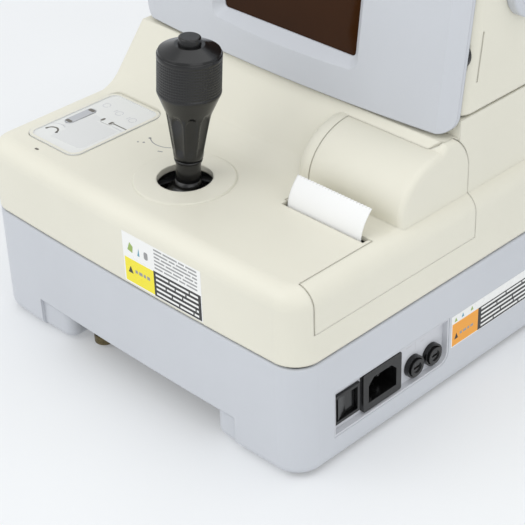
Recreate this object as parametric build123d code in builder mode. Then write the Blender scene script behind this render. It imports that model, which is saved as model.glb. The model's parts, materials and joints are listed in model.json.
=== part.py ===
from build123d import *
import os
from math import cos, pi, radians, sin, tan

# Auto refractometer with a joystick-driven stage, a tilted monitor head and a patient chinrest.
#
# Frame: millimetres, +Z up, origin on the table under the middle of the base.
# -Y is the operator's side, +Y the patient's side, +X the side with the printer and the mains inlet.
# At rest the stage is aligned with the base and the head and the chinrest are at their lowest.

os.makedirs("parts", exist_ok=True)

# ---------------------------------------------------------------- driving dimensions
WIDTH = 280.0                 # base and stage cover, X
DEPTH = 480.0                 # base, Y
FRONT_BOW = 2.4               # how far the front face bulges at its middle
PLAN_CORNER = 18.0            # corner radius seen from above
FOOT_HEIGHT = 2.0             # rubber feet below the shell
BASE_TOP = 79.0
COVER_BOTTOM = 81.0           # a 2 mm dark gap separates base and stage cover
DECK = 129.0                  # flat working deck of the stage
DECK_ROUND = 12.0
EDGE_ROUND = 4.0              # upper side edges of the raised body and of the hump
HUMP_ROUND = 8.0              # soft shoulder at the fixed end of the hump
STAGE_REAR = 150.0
BODY_WIDTH = 266.0            # raised body and head, X
BODY_TOP = 179.0              # seam between stage body and head
BODY_STEP = -94.4             # the body steps down here to pass under the monitor
HEAD_GAP = 1.5
SHELL = 3.0                   # moulded wall thickness

HALF = WIDTH / 2
FRONT = -DEPTH / 2
REAR = DEPTH / 2
BODY_HALF = BODY_WIDTH / 2
SIDES = (-1, 1)

# underside of the base
ARCH_TOP = 24.0               # front and rear skirts stop here between the legs
ARCH = (-95.0, 88.0)          # X limits of the front arch
LEG_INNER = 68.0              # inner faces of the set-back leg blocks
LEG_ROUND = 5.0
BOTTOM_ROUND = 7.0            # lower edge of the base
FLOOR_PLATE = (24.0, 26.0)

# power panel in the right wall of the base
PANEL_Y = (-208.0, -106.0)
PANEL_Z = (19.5, 52.0)
PANEL_FACE = HALF - 4.5
SWITCH_CENTRE = (-194.75, 35.25)
INLET_CENTRE = (-165.0, 35.25)
FUSE_CENTRES = {"front": -135.0, "rear": -118.3}
FUSE_Z = 30.3

# rolling stage drive
MODULE = 1.0
WHEEL_TEETH = 16
PITCH_RADIUS = MODULE * WHEEL_TEETH / 2
RACK_PITCH_Z = 86.0
AXLE_Y = 45.0
AXLE_Z = RACK_PITCH_Z + PITCH_RADIUS
AXLE_RADIUS = 3.0
RACK_X = (70.0, 78.0)
ROD_YS = (20.0, 70.0)
ROD_Z = 104.0
ROD_RADIUS = 4.0
RUNNING = 0.06                # radial clearance of every running fit
FRAME_PLATE = (112.0, 115.0)

# joystick, leaning slightly as the friction of its gimbal leaves it
PIVOT = (-2.0, -187.5, 98.0)
LEAN = 2.6                    # degrees towards +X and towards +Y
HOLE_RADIUS = 17.2
RING_RADIUS = 31.8
DECK_H = DECK - PIVOT[2]      # heights along the stick are counted from the pivot
STEM_RADIUS = 7.7
CORE_RADIUS = 5.0
GRIP_H = (DECK_H + 15.5, DECK_H + 84.0)
BUTTON_RADIUS = 6.75
BUTTON_TOP = DECK_H + 94.0

# printer bay and its pull-off cover
HUMP_MIDDLE = (-108.5, 134.0) # centre (Y, Z) of its quarter ellipse
HUMP_RADII = (36.0, 29.3)
HUMP_X = (48.0, 60.0)         # fixed end of the hump, then the cover begins
SHELF = 168.0                 # level strip between the slope and the monitor
SLOT_Y = -164.5               # front edge of the cover on the deck
STRIP_X = 128.3               # left edge of the cover's side strip
STRIP_FRONT = -223.5
COVER_LOW = 100.0             # bottom edge of the cover on the side wall
COVER_REAR = -85.0            # rear edge of the cover on the side wall
COVER_CREST = -109.6          # rear edge of the cover on top, where the hump meets the slope
SEAM = 0.6
ROLL_CENTRE = (-113.0, 136.0)
ROLL_RADIUS = 20.0
ROLL_WIDTH = 58.0
ROLL_MID_X = 94.0
PLATEN_CENTRE = (-162.4, 117.0)
PLATEN_RADIUS = 4.5

# control panel on the left of the deck
MEMBRANE_X = (-122.5, -72.5)
MEMBRANE_Y = (-217.0, -140.0)
MEMBRANE_DEPTH = 1.2

# head and monitor
TILT = 8.1                    # the monitor leans back by this many degrees
BEZEL_Z = (170.5, 309.0)
BEZEL_FRONT = -109.5          # middle of the bezel's bottom edge
SEAM_Y = -95.4                # bezel's rear plane at the height of the body seam
SCREEN = (112.0, 85.0)
SCREEN_MID_Z = 239.5
SCREEN_DEPTH = 7.0
LIP = 8.0
HEAD_TOP = 350.0
HEAD_REAR = 134.0
OPTICAL_AXIS_Z = 285.0
COLUMN_X = 60.0
KNOB_CENTRE = (-38.5, 247.0)
KNOB_RADIUS = 20.0
DIMMER_CENTRE = (124.6, -88.0, 215.8)
DIMMER_RADIUS = 8.2
DIMMER_WIDTH = 2.2
DIMMER_SLOT = (3.0, 14.6)     # leans back with the monitor
SIDE_GROOVE = (-78.9, 213.6, 1.0, 30.0)   # centre Y and Z, width, length

# chinrest
CHINREST_Y = 214.0
UPRIGHT_X = 112.0
UPRIGHT_TOP = 425.0
CHIN_REST_Z = 205.0


# ---------------------------------------------------------------- helpers
def block(x, y, z, mode=Mode.ADD):
    """Box between low and high limits on each axis."""
    with Locations(((x[0] + x[1]) / 2, (y[0] + y[1]) / 2, (z[0] + z[1]) / 2)):
        Box(x[1] - x[0], y[1] - y[0], z[1] - z[0], mode=mode)


def drum(centre, radius, length, axis="z", mode=Mode.ADD):
    """Cylinder centred on a point, along one frame axis."""
    turn = {"x": (0, 90, 0), "y": (90, 0, 0), "z": (0, 0, 0)}[axis]
    with Locations(Location(centre, turn)):
        Cylinder(radius, length, mode=mode)


def post(x, y, z, radius, mode=Mode.ADD):
    """Vertical cylinder between two heights."""
    drum((x, y, (z[0] + z[1]) / 2), radius, z[1] - z[0], "z", mode)


def plan_outline(half, front, rear, corner):
    """Rounded rectangle whose front side is a shallow arc."""
    shoulder = front + FRONT_BOW
    with BuildSketch() as outline:
        with BuildLine():
            ThreePointArc((-half, shoulder), (0, front), (half, shoulder))
            Polyline((half, shoulder), (half, rear), (-half, rear), (-half, shoulder))
        make_face()
        fillet(outline.vertices(), corner)
    return outline.sketch


def wedge_profile(inset):
    """Side view (Y, Z) of the raised stage body; inset moves every side inwards."""
    slope = (39.0 / 50.6)
    with BuildSketch() as profile:
        with BuildLine():
            ThreePointArc((-150 + inset, DECK - inset), (-139 + inset, 131.5 - inset),
                          (-130.5 + inset * slope, 137.5 - inset * slope))
            Polyline((-130.5 + inset * slope, 137.5 - inset * slope),
                     (-105 + inset, SHELF - inset), (BODY_STEP + inset, SHELF - inset),
                     (BODY_STEP + inset, BODY_TOP - inset), (STAGE_REAR - inset, BODY_TOP - inset),
                     (STAGE_REAR - inset, 110), (-150 + inset, 110), (-150 + inset, DECK - inset))
        make_face()
    return profile.sketch


def hump_profile(inset):
    """Side view (Y, Z) of the printer hump, a quarter ellipse on a short upright foot."""
    radii = (HUMP_RADII[0] - inset, HUMP_RADII[1] - inset)
    crest = HUMP_MIDDLE[1] + radii[1]
    front = HUMP_MIDDLE[0] - radii[0]
    with BuildSketch() as profile:
        with BuildLine():
            EllipticalCenterArc(HUMP_MIDDLE, *radii, start_angle=90, arc_size=90)
            Polyline((front, HUMP_MIDDLE[1]), (front, 110), (BODY_STEP + inset, 110),
                     (BODY_STEP + inset, crest), (HUMP_MIDDLE[0], crest))
        make_face()
    return profile.sketch


def screen_plane(depth):
    """Plane parallel to the monitor's front, this far behind its bottom-middle front face."""
    lean = radians(TILT)
    y = BEZEL_FRONT + (SCREEN_MID_Z - BEZEL_Z[0]) * tan(lean)
    normal = (0, -cos(lean), sin(lean))
    origin = (0, y + depth * cos(lean), SCREEN_MID_Z - depth * sin(lean))
    return Plane(origin=origin, x_dir=(1, 0, 0), z_dir=normal)


def stick_axes():
    """Unit vectors of the gimbal ring (tilted about X) and of the stick (then about the ring's Y)."""
    lean = radians(LEAN)
    ring = (0, sin(lean), cos(lean))
    ring_y = (0, cos(lean), -sin(lean))
    stick = (sin(lean), sin(lean) * cos(lean), cos(lean) ** 2)
    return ring, ring_y, stick


RING_Z, RING_Y, STICK = stick_axes()
ring_plane = Plane(origin=PIVOT, x_dir=(1, 0, 0), z_dir=RING_Z)
stick_plane = Plane(origin=PIVOT, x_dir=(STICK[2], 0, -STICK[0]), z_dir=STICK)
ring_y_plane = Plane(origin=PIVOT, x_dir=(1, 0, 0), z_dir=RING_Y)


# ---------------------------------------------------------------- base: shell and underside
base_wall = SHELL + 0.5

with BuildPart() as legs:
    for side in SIDES:
        block(sorted((side * LEG_INNER, side * 127)), (-236.6, -196), (FOOT_HEIGHT, FLOOR_PLATE[0]))
        block(sorted((side * 74, side * 127)), (196, 230), (FOOT_HEIGHT, FLOOR_PLATE[0]))
    fillet(legs.edges().filter_by(Axis.Z).filter_by(lambda edge: abs(edge.center().X) < 120), 8)
    fillet(legs.faces().group_by(Axis.Z)[0].edges(), LEG_ROUND)

with BuildPart() as base_shell:
    with BuildSketch(Plane.XY.offset(FOOT_HEIGHT)):
        add(plan_outline(HALF, FRONT, REAR, PLAN_CORNER))
    extrude(amount=BASE_TOP - FOOT_HEIGHT)
    fillet(base_shell.faces().sort_by(Axis.Z)[0].edges(), BOTTOM_ROUND)
    fillet(base_shell.faces().sort_by(Axis.Z)[-1].edges(), 1.5)
    with BuildSketch(Plane.XY.offset(0)):
        add(plan_outline(HALF - base_wall, FRONT + base_wall, REAR - base_wall, PLAN_CORNER - base_wall))
    extrude(amount=BASE_TOP - base_wall, mode=Mode.SUBTRACT)
    block(ARCH, (FRONT - 1, FRONT + 8), (0, ARCH_TOP), Mode.SUBTRACT)
    block((-90, 90), (REAR - 8, REAR + 1), (0, ARCH_TOP), Mode.SUBTRACT)
    add(legs.part)
    with BuildSketch(Plane.YZ.offset(HALF - 8)) as window:
        with Locations(((PANEL_Y[0] + PANEL_Y[1]) / 2, (PANEL_Z[0] + PANEL_Z[1]) / 2)):
            Rectangle(PANEL_Y[1] - PANEL_Y[0], PANEL_Z[1] - PANEL_Z[0])
        fillet(window.vertices().group_by(Axis.X)[-1].sort_by(Axis.Y)[0], 8)
    extrude(amount=10, mode=Mode.SUBTRACT)

with BuildPart() as bottom_plate:
    with BuildSketch(Plane.XY.offset(FLOOR_PLATE[0])):
        add(plan_outline(HALF - base_wall, FRONT + base_wall, REAR - base_wall, PLAN_CORNER - base_wall))
        with Locations((-53, -221)):
            Circle(3 + RUNNING, mode=Mode.SUBTRACT)
    extrude(amount=FLOOR_PLATE[1] - FLOOR_PLATE[0])
    block((106, HALF), (PANEL_Y[0] - 2, PANEL_Y[1] + 2), (20, 30), Mode.SUBTRACT)

with BuildPart() as rubber_feet:
    for side in SIDES:
        for foot_y in (-213, 213):
            post(side * 106, foot_y, (0, FOOT_HEIGHT), 10)

with BuildPart() as fixing_screw:
    post(-53, -221, (3, 9), 7)
    post(-53, -221, (9, 14), 5)
    post(-53, -221, (14, 40), 3)
    block((-61, -45), (-221.6, -220.4), (3, 4.2), Mode.SUBTRACT)

with BuildPart() as base_chassis:
    block((-112, 112), (-206, 206), (BASE_TOP - base_wall - 3, BASE_TOP - base_wall))
    with Locations((0, 0, BASE_TOP - base_wall - 2)):
        with GridLocations(90, 120, 2, 3):
            Cylinder(22, 8, mode=Mode.SUBTRACT)

with BuildPart() as friction_plate:
    block((-78, 74), (-226, -150), (BASE_TOP, BASE_TOP + 1))

with BuildPart() as racks:
    rack_y = (AXLE_Y - 36, AXLE_Y + 36)
    rack_root = RACK_PITCH_Z - 1.25 * MODULE
    pitch = pi * MODULE
    half_tooth = 0.21 * pitch
    flank = tan(radians(20))
    rack_tooth = [(-half_tooth - 1.3 * flank, -1.3), (half_tooth + 1.3 * flank, -1.3),
                  (half_tooth - 0.8 * flank, 0.8), (-half_tooth + 0.8 * flank, 0.8)]
    for side in SIDES:
        block(sorted((side * RACK_X[0], side * RACK_X[1])), rack_y, (BASE_TOP, rack_root))
        with BuildSketch(Plane.YZ.offset(min(side * RACK_X[0], side * RACK_X[1]))):
            for step in range(-11, 11):
                with Locations((AXLE_Y + (step + 0.5) * pitch, RACK_PITCH_Z)):
                    Polygon(*rack_tooth, align=None)
        extrude(amount=RACK_X[1] - RACK_X[0])

with BuildPart() as power_supply:
    block((-108, -44), (-40, 40), (26, 66))
    block((-118, -34), (-28, 28), (30, 62))
    fillet(power_supply.edges().filter_by(Axis.Z), 3)
    block((14, 104), (-60, 60), (34, 35.6))
    for corner_x in (20, 98):
        for corner_y in (-54, 54):
            post(corner_x, corner_y, (26, 34), 3)
    block((24, 50), (-40, 0), (35.6, 58))
    for capacitor_y in (15, 34):
        post(70, capacitor_y, (35.6, 60), 8)

# ---------------------------------------------------------------- base: power panel
with BuildPart() as power_panel:
    with BuildSketch(Plane.YZ.offset(PANEL_FACE - 2)) as tray:
        with Locations(((PANEL_Y[0] + PANEL_Y[1]) / 2, (PANEL_Z[0] + PANEL_Z[1]) / 2)):
            Rectangle(PANEL_Y[1] - PANEL_Y[0], PANEL_Z[1] - PANEL_Z[0])
        fillet(tray.vertices().group_by(Axis.X)[-1].sort_by(Axis.Y)[0], 8)
    extrude(amount=6)
    with BuildSketch(Plane.YZ.offset(PANEL_FACE)) as pocket:
        with Locations(((PANEL_Y[0] + PANEL_Y[1]) / 2, (PANEL_Z[0] + PANEL_Z[1]) / 2)):
            Rectangle(PANEL_Y[1] - PANEL_Y[0] - 2.4, PANEL_Z[1] - PANEL_Z[0] - 2.4)
        fillet(pocket.vertices().group_by(Axis.X)[-1].sort_by(Axis.Y)[0], 7)
    extrude(amount=6, mode=Mode.SUBTRACT)
    block((130, 140), (SWITCH_CENTRE[0] - 9.6, SWITCH_CENTRE[0] + 9.6),
          (SWITCH_CENTRE[1] - 8.9, SWITCH_CENTRE[1] + 8.9), Mode.SUBTRACT)
    block((130, 140), (INLET_CENTRE[0] - 14, INLET_CENTRE[0] + 14),
          (INLET_CENTRE[1] - 11.2, INLET_CENTRE[1] + 11.2), Mode.SUBTRACT)
    for fuse_y in FUSE_CENTRES.values():
        drum((135, fuse_y, FUSE_Z), 6.2, 10, "x", Mode.SUBTRACT)

with BuildPart() as mains_inlet:
    inlet_y, inlet_z = INLET_CENTRE
    block((PANEL_FACE, PANEL_FACE + 3), (inlet_y - 16.8, inlet_y + 16.8), (inlet_z - 13.7, inlet_z + 13.7))
    fillet(mains_inlet.edges().filter_by(Axis.X), 1.5)
    block((108, PANEL_FACE), (inlet_y - 14, inlet_y + 14), (inlet_z - 11.2, inlet_z + 11.2))
    with BuildSketch(Plane.YZ.offset(113)) as socket:
        with Locations((inlet_y, inlet_z)):
            Rectangle(24.5, 16.8)
        chamfer(socket.vertices().group_by(Axis.Y)[-1], 4.5)
    extrude(amount=40, mode=Mode.SUBTRACT)

with BuildPart() as inlet_pins:
    for pin_dy, pin_dz in ((-7, -2.2), (0, 1.8), (7, -2.2)):
        block((100, 129), (inlet_y + pin_dy - 1, inlet_y + pin_dy + 1),
              (inlet_z + pin_dz - 2, inlet_z + pin_dz + 2))
    fillet(inlet_pins.faces().group_by(Axis.X)[-1].edges(), 0.6)

with BuildPart() as switch_frame:
    switch_y, switch_z = SWITCH_CENTRE
    block((PANEL_FACE, PANEL_FACE + 2), (switch_y - 11, switch_y + 11), (switch_z - 10.2, switch_z + 10.2))
    block((114, PANEL_FACE), (switch_y - 9.6, switch_y + 9.6), (switch_z - 8.9, switch_z + 8.9))
    block((125, 140), (switch_y - 9, switch_y + 9), (switch_z - 8.1, switch_z + 8.1), Mode.SUBTRACT)
    drum((132.5, switch_y, switch_z), 1.5 + RUNNING, 17.4, "z", Mode.SUBTRACT)

SWITCH_TILT = 8.0
with BuildPart() as switch_rocker:
    rocker_plane = Plane(origin=(132.5, switch_y, switch_z - 7.7), x_dir=(cos(radians(SWITCH_TILT)),
                         sin(radians(SWITCH_TILT)), 0), z_dir=(0, 0, 1))
    with BuildSketch(rocker_plane):
        Polygon((-2.5, -8.1), (3.8, -8.3), (2.9, 0), (3.8, 8.3), (-2.5, 8.1), (-5.5, 0), align=None)
    extrude(amount=15.4)
    drum((132.5, switch_y, switch_z), 1.5, 17.2, "z")

with BuildPart() as fuse_holders:
    for fuse_y in FUSE_CENTRES.values():
        drum(((112 + PANEL_FACE) / 2, fuse_y, FUSE_Z), 6.2, PANEL_FACE - 112, "x")
        drum((PANEL_FACE + 1.6, fuse_y, FUSE_Z), 7.5, 3.2, "x")
        drum((PANEL_FACE + 3.2, fuse_y, FUSE_Z), 6.2, 3.4, "x", Mode.SUBTRACT)
        drum((PANEL_FACE - 2, fuse_y, FUSE_Z), 4 + RUNNING, 20, "x", Mode.SUBTRACT)


def fuse_cap(fuse_y):
    """Slotted bayonet cap of a fuse holder."""
    with BuildPart() as cap:
        drum((PANEL_FACE + 3.1, fuse_y, FUSE_Z), 5.8, 2.8, "x")
        drum((PANEL_FACE - 4, fuse_y, FUSE_Z), 4, 12, "x")
        drum((140, fuse_y, FUSE_Z), 3.6, 1.6, "x", Mode.SUBTRACT)
        block((138, 139.6), (fuse_y - 2.9, fuse_y + 2.9), (FUSE_Z - 0.7, FUSE_Z + 0.7), Mode.SUBTRACT)
    return cap


fuse_cap_front = fuse_cap(FUSE_CENTRES["front"])
fuse_cap_rear = fuse_cap(FUSE_CENTRES["rear"])

# ---------------------------------------------------------------- rolling carriage
with BuildPart() as carriage_ends:
    for side in SIDES:
        block(sorted((side * 62, side * 69.8)), (8, 82), (88, 111))
    fillet(carriage_ends.edges().filter_by(Axis.X), 4)
    drum((0, AXLE_Y, AXLE_Z), AXLE_RADIUS + RUNNING, 160, "x", Mode.SUBTRACT)
    for rod_y in ROD_YS:
        drum((0, rod_y, ROD_Z), ROD_RADIUS, 160, "x", Mode.SUBTRACT)

with BuildPart() as cross_rods:
    for rod_y in ROD_YS:
        drum((0, rod_y, ROD_Z), ROD_RADIUS, 139.6, "x")

with BuildPart() as roller_axle:
    drum((0, AXLE_Y, AXLE_Z), AXLE_RADIUS, 160, "x")
    for side in SIDES:
        drum((side * 40, AXLE_Y, AXLE_Z), AXLE_RADIUS + 1, 10, "x")
    wheel_tooth = [(6.4, -0.85), (PITCH_RADIUS, -half_tooth), (8.8, -0.36),
                   (8.8, 0.36), (PITCH_RADIUS, half_tooth), (6.4, 0.85)]
    for side in SIDES:
        with BuildSketch(Plane.YZ.offset(side * 74 - 3.5)):
            with Locations((AXLE_Y, AXLE_Z)):
                Circle(PITCH_RADIUS - 1.25)
                with PolarLocations(0, WHEEL_TEETH, start_angle=0):
                    Polygon(*wheel_tooth, align=None)
        extrude(amount=7)

# ---------------------------------------------------------------- stage: hull shared by cover and door
with BuildPart() as raised_body:
    with BuildSketch(Plane.YZ.offset(-BODY_HALF)):
        add(wedge_profile(0))
    extrude(amount=BODY_WIDTH)
    fillet(raised_body.edges().filter_by(lambda edge: abs(edge.center().X) > BODY_HALF - 1
                                         and edge.center().Y < BODY_STEP - 1
                                         and 131 < edge.center().Z < SHELF + 1), EDGE_ROUND)

with BuildPart() as hump:
    with BuildSketch(Plane.YZ.offset(HUMP_X[0])):
        add(hump_profile(0))
    extrude(amount=BODY_HALF - HUMP_X[0])
    upper = hump.edges().filter_by(lambda edge: edge.center().Z > 115 and edge.center().Y < BODY_STEP - 1)
    fillet(upper.filter_by(lambda edge: abs(edge.center().X - HUMP_X[0]) < 1), HUMP_ROUND)
    upper = hump.edges().filter_by(lambda edge: edge.center().Z > 115 and edge.center().Y < BODY_STEP - 1)
    fillet(upper.filter_by(lambda edge: abs(edge.center().X - BODY_HALF) < 1), EDGE_ROUND)

with BuildPart() as hull:
    with BuildSketch(Plane.XY.offset(COVER_BOTTOM)):
        add(plan_outline(HALF, FRONT, STAGE_REAR, PLAN_CORNER))
    extrude(amount=DECK - COVER_BOTTOM)
    fillet(hull.faces().sort_by(Axis.Z)[-1].edges(), DECK_ROUND)
    add(raised_body.part)
    add(hump.part)

with BuildPart() as hollow:
    with BuildSketch(Plane.XY.offset(COVER_BOTTOM - 1)):
        add(plan_outline(HALF - SHELL, FRONT + SHELL, STAGE_REAR - SHELL, PLAN_CORNER - SHELL))
    extrude(amount=DECK - SHELL - COVER_BOTTOM + 1)
    fillet(hollow.faces().sort_by(Axis.Z)[-1].edges(), DECK_ROUND - SHELL)
    with BuildSketch(Plane.YZ.offset(SHELL - BODY_HALF)):
        add(wedge_profile(SHELL))
    extrude(amount=BODY_WIDTH - 2 * SHELL)
    with BuildSketch(Plane.YZ.offset(HUMP_X[1])):
        add(hump_profile(SHELL))
    extrude(amount=BODY_HALF - SHELL - HUMP_X[1])


def cover_zone(gap):
    """Space of the printer cover; gap shrinks it by the seam width, most where the rear edge sweeps."""
    low = COVER_LOW + gap / 8
    height = 190 - low
    front = SLOT_Y + gap
    left = HUMP_X[1] + gap
    crest = COVER_CREST - gap / 4
    sweep = (127 + gap, -105.0 - 2 * gap)
    with BuildPart() as zone:
        with BuildSketch(Plane.XY.offset(low)):
            with BuildLine():
                Polyline((left, front), (HALF + 2, front), (HALF + 2, -100 - gap), (BODY_HALF, -100 - gap),
                         sweep, (121, crest), (left, crest), (left, front))
            make_face()
        extrude(amount=height)
        with BuildSketch(Plane.YZ.offset(BODY_HALF - SHELL - 0.5)):
            with BuildLine():
                Polyline((COVER_REAR - gap / 2, 148), (COVER_REAR - gap / 2, low), (-105, low), (-105, 175),
                         (-99.5 - gap, 170))
                ThreePointArc((-99.5 - gap, 170), (-90.4 - gap, 161.2), (COVER_REAR - gap / 2, 148))
            make_face()
        extrude(amount=HALF + 2 - BODY_HALF + SHELL)
        block((STRIP_X + gap, HALF + 2), (STRIP_FRONT + gap, SLOT_Y + 2), (low, 140))
    return zone.part


with BuildPart() as deck_ring:
    post(PIVOT[0], PIVOT[1], (DECK - 1, DECK + 1), RING_RADIUS)
    fillet(deck_ring.faces().sort_by(Axis.Z)[-1].edges(), 0.9)

with BuildPart() as stage_cover:
    add(hull.part)
    add(deck_ring.part)
    add(hollow.part, mode=Mode.SUBTRACT)
    add(cover_zone(0), mode=Mode.SUBTRACT)
    post(PIVOT[0], PIVOT[1], (DECK - 10, DECK + 10), HOLE_RADIUS, Mode.SUBTRACT)
    block((-120, 120), (-60, 125), (BODY_TOP - 10, BODY_TOP + 10), Mode.SUBTRACT)
    block((62, 126), (SLOT_Y - 4.6, SLOT_Y + 1), (DECK - 6, DECK + 1), Mode.SUBTRACT)
    with BuildSketch(Plane.XY.offset(DECK - MEMBRANE_DEPTH)):
        with Locations(((MEMBRANE_X[0] + MEMBRANE_X[1]) / 2, (MEMBRANE_Y[0] + MEMBRANE_Y[1]) / 2)):
            RectangleRounded(MEMBRANE_X[1] - MEMBRANE_X[0], MEMBRANE_Y[1] - MEMBRANE_Y[0], 8)
    extrude(amount=5, mode=Mode.SUBTRACT)

with BuildPart() as printer_cover:
    add(hull.part)
    add(hollow.part, mode=Mode.SUBTRACT)
    add(cover_zone(SEAM), mode=Mode.INTERSECT)

with BuildPart() as stage_frame:
    block((-105, 105), (-60, 140), FRAME_PLATE)
    block((-38, 38), (-224, -58), FRAME_PLATE)
    for wing_y in ((-56, -30), (100, 130)):
        block((SHELL - HALF, HALF - SHELL), wing_y, FRAME_PLATE)
    for rod_y in ROD_YS:
        block((-12, 12), (rod_y - 8, rod_y + 8), (98.5, FRAME_PLATE[0]))
        drum((0, rod_y, ROD_Z), ROD_RADIUS + RUNNING, 30, "x", Mode.SUBTRACT)
    for boss_x in (-28, 28):
        post(boss_x, -218, (FRAME_PLATE[1], DECK - SHELL), 4)
    post(PIVOT[0], PIVOT[1], FRAME_PLATE, 29, Mode.SUBTRACT)
    post(0, AXLE_Y, FRAME_PLATE, CORE_RADIUS + RUNNING, Mode.SUBTRACT)
    with Locations((0, 100, FRAME_PLATE[0])):
        with GridLocations(110, 40, 2, 1):
            Cylinder(16, 10, mode=Mode.SUBTRACT)

with BuildPart() as lift_motor:
    block((-12, 12), (31, 59), (99, FRAME_PLATE[0]))
    post(0, AXLE_Y, (110, FRAME_PLATE[0]), CORE_RADIUS + RUNNING, Mode.SUBTRACT)
    fillet(lift_motor.edges().filter_by(Axis.Z).group_by(Axis.X)[0], 2)

with BuildPart() as guide_columns:
    for side in SIDES:
        post(side * COLUMN_X, AXLE_Y, (FRAME_PLATE[1], 225), 6)
    chamfer(guide_columns.faces().group_by(Axis.Z)[-1].edges(), 1)

with BuildPart() as lead_screw:
    post(0, AXLE_Y, (110.3, 220), CORE_RADIUS)
    chamfer(lead_screw.faces().sort_by(Axis.Z)[-1].edges(), 1)

with BuildPart() as main_board:
    block((-90, -20), (-48, -2), (121, 122.6))
    for corner_x in (-86, -24):
        for corner_y in (-44, -6):
            post(corner_x, corner_y, (FRAME_PLATE[1], 121), 2.5)
    block((-78, -52), (-36, -14), (122.6, 125))
    block((-44, -30), (-38, -12), (122.6, 127))

# ---------------------------------------------------------------- stage: joystick
with BuildPart() as joystick_housing:
    post(PIVOT[0], PIVOT[1], (92, FRAME_PLATE[0]), 34)
    post(PIVOT[0], PIVOT[1], (91, 104), 19.5, Mode.SUBTRACT)
    post(PIVOT[0], PIVOT[1], (104, 120), 28, Mode.SUBTRACT)
    drum(PIVOT, 2 + RUNNING, 48, "x", Mode.SUBTRACT)

with BuildPart() as gimbal_ring:
    with BuildSketch(ring_plane.offset(-4)):
        Circle(18.5)
        Circle(13.5, mode=Mode.SUBTRACT)
    extrude(amount=8)
    for side in SIDES:
        drum((PIVOT[0] + side * 20, PIVOT[1], PIVOT[2]), 2, 7, "x")
    with BuildSketch(ring_y_plane.offset(-22)):
        Circle(2 + RUNNING)
    extrude(amount=44, mode=Mode.SUBTRACT)

with BuildPart() as joystick_stem:
    with BuildSketch(stick_plane.offset(-7)):
        Circle(9)
    extrude(amount=14)
    with BuildSketch(stick_plane):
        Circle(STEM_RADIUS)
    extrude(amount=GRIP_H[0] - 0.4)
    with BuildSketch(stick_plane.offset(GRIP_H[0] - 1)):
        Circle(CORE_RADIUS)
    extrude(amount=GRIP_H[1] - GRIP_H[0] - 3)
    with BuildSketch(ring_y_plane.offset(-18)):
        Circle(2)
    extrude(amount=36)

BOOT_RADIUS = 25.0
with BuildPart() as joystick_boot:
    with BuildSketch(Plane(origin=PIVOT, x_dir=stick_plane.x_dir, z_dir=-stick_plane.y_dir)):
        with BuildLine():
            top = (STEM_RADIUS, (BOOT_RADIUS ** 2 - STEM_RADIUS ** 2) ** 0.5)
            low = (BOOT_RADIUS * sin(radians(50)), BOOT_RADIUS * cos(radians(50)))
            mid = (BOOT_RADIUS * sin(radians(34)), BOOT_RADIUS * cos(radians(34)))
            thin = (BOOT_RADIUS - 1) / BOOT_RADIUS
            inner_top = (STEM_RADIUS, ((BOOT_RADIUS - 1) ** 2 - STEM_RADIUS ** 2) ** 0.5)
            ThreePointArc(top, mid, low)
            Line(low, (low[0] * thin, low[1] * thin))
            ThreePointArc((low[0] * thin, low[1] * thin), (mid[0] * thin, mid[1] * thin), inner_top)
            Line(inner_top, top)
        make_face()
    revolve(axis=Axis(origin=PIVOT, direction=STICK))

with BuildPart() as joystick_grip:
    with BuildSketch(Plane(origin=PIVOT, x_dir=stick_plane.x_dir, z_dir=-stick_plane.y_dir)):
        with BuildLine():
            Polyline((CORE_RADIUS + RUNNING, GRIP_H[0]), (9.0, GRIP_H[0]), (9.3, GRIP_H[0] + 3),
                     (13.8, DECK_H + 46), (19.3, DECK_H + 59), (19.3, GRIP_H[1]), (0, GRIP_H[1]),
                     (0, GRIP_H[1] - 3), (CORE_RADIUS + RUNNING, GRIP_H[1] - 3),
                     (CORE_RADIUS + RUNNING, GRIP_H[0]))
        make_face()
    revolve(axis=Axis(origin=PIVOT, direction=STICK))

with BuildPart() as grip_cap:
    with BuildSketch(Plane(origin=PIVOT, x_dir=stick_plane.x_dir, z_dir=-stick_plane.y_dir)):
        with BuildLine():
            Polyline((0, GRIP_H[1]), (18.9, GRIP_H[1]), (18.4, GRIP_H[1] + 1.4), (9.0, GRIP_H[1] + 5.2),
                     (BUTTON_RADIUS + RUNNING, GRIP_H[1] + 5.2), (BUTTON_RADIUS + RUNNING, GRIP_H[1] + 1),
                     (0, GRIP_H[1] + 1), (0, GRIP_H[1]))
        make_face()
    revolve(axis=Axis(origin=PIVOT, direction=STICK))

BUTTON_TRAVEL = 2.0
with BuildPart() as measure_button:
    with BuildSketch(stick_plane.offset(GRIP_H[1] + 1.2 + BUTTON_TRAVEL)):
        Circle(BUTTON_RADIUS)
    extrude(amount=BUTTON_TOP - GRIP_H[1] - 1.2 - BUTTON_TRAVEL)
    fillet(measure_button.faces().sort_by(Axis.Z)[-1].edges(), 1.2)

# ---------------------------------------------------------------- stage: control panel
KEY_TRAVEL = 0.5
KEYS = {
    "print_key": ((-113.0, -178.0), (7.0, 24.0)),
    "menu_key": ((-93.8, -171.6), (10.6, 5.2)),
}
membrane_centre = ((MEMBRANE_X[0] + MEMBRANE_X[1]) / 2, (MEMBRANE_Y[0] + MEMBRANE_Y[1]) / 2)
membrane_size = (MEMBRANE_X[1] - MEMBRANE_X[0] - 0.8, MEMBRANE_Y[1] - MEMBRANE_Y[0] - 0.8)

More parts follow.
